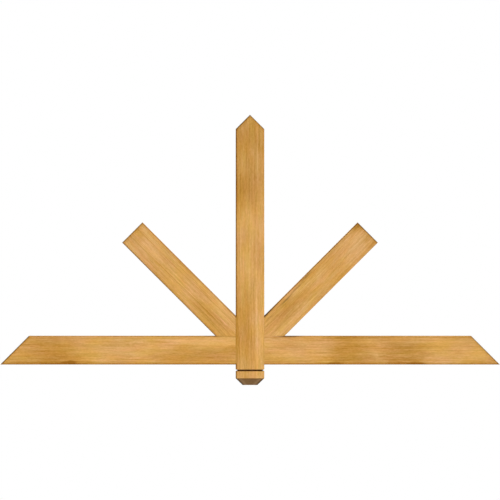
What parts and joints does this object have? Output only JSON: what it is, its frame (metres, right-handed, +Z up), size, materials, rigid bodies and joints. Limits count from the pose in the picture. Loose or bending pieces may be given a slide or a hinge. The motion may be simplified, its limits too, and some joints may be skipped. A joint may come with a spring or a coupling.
{
  "type": "decorative gable truss",
  "caption": "Timber gable truss with a pointed king post, grooved and sloped pendant foot, level tie beam and slanting struts, all outer ends cut to a steep roof line.",
  "frame": {"origin": "where the centre lines of post, tie beam and struts meet, on the flat back of the truss", "axes": "+X to the right seen from the front, +Y into the wall behind, +Z up; the front faces -Y"},
  "size_m": [2.4384, 0.0889, 1.3199],
  "materials": {
    "truss_timber": "planed softwood with a honey-coloured satin stain",
    "dowel_wood": "plain turned hardwood",
    "screw_steel": "bronze-coloured weather coating on steel"
  },
  "bodies": {
    "root": {"king_post": "truss_timber", "tie_beam": "truss_timber", "left_strut": "truss_timber", "right_strut": "truss_timber", "strut_dowels": "dowel_wood", "lap_screws": "screw_steel"}
  },
  "joints": []
}
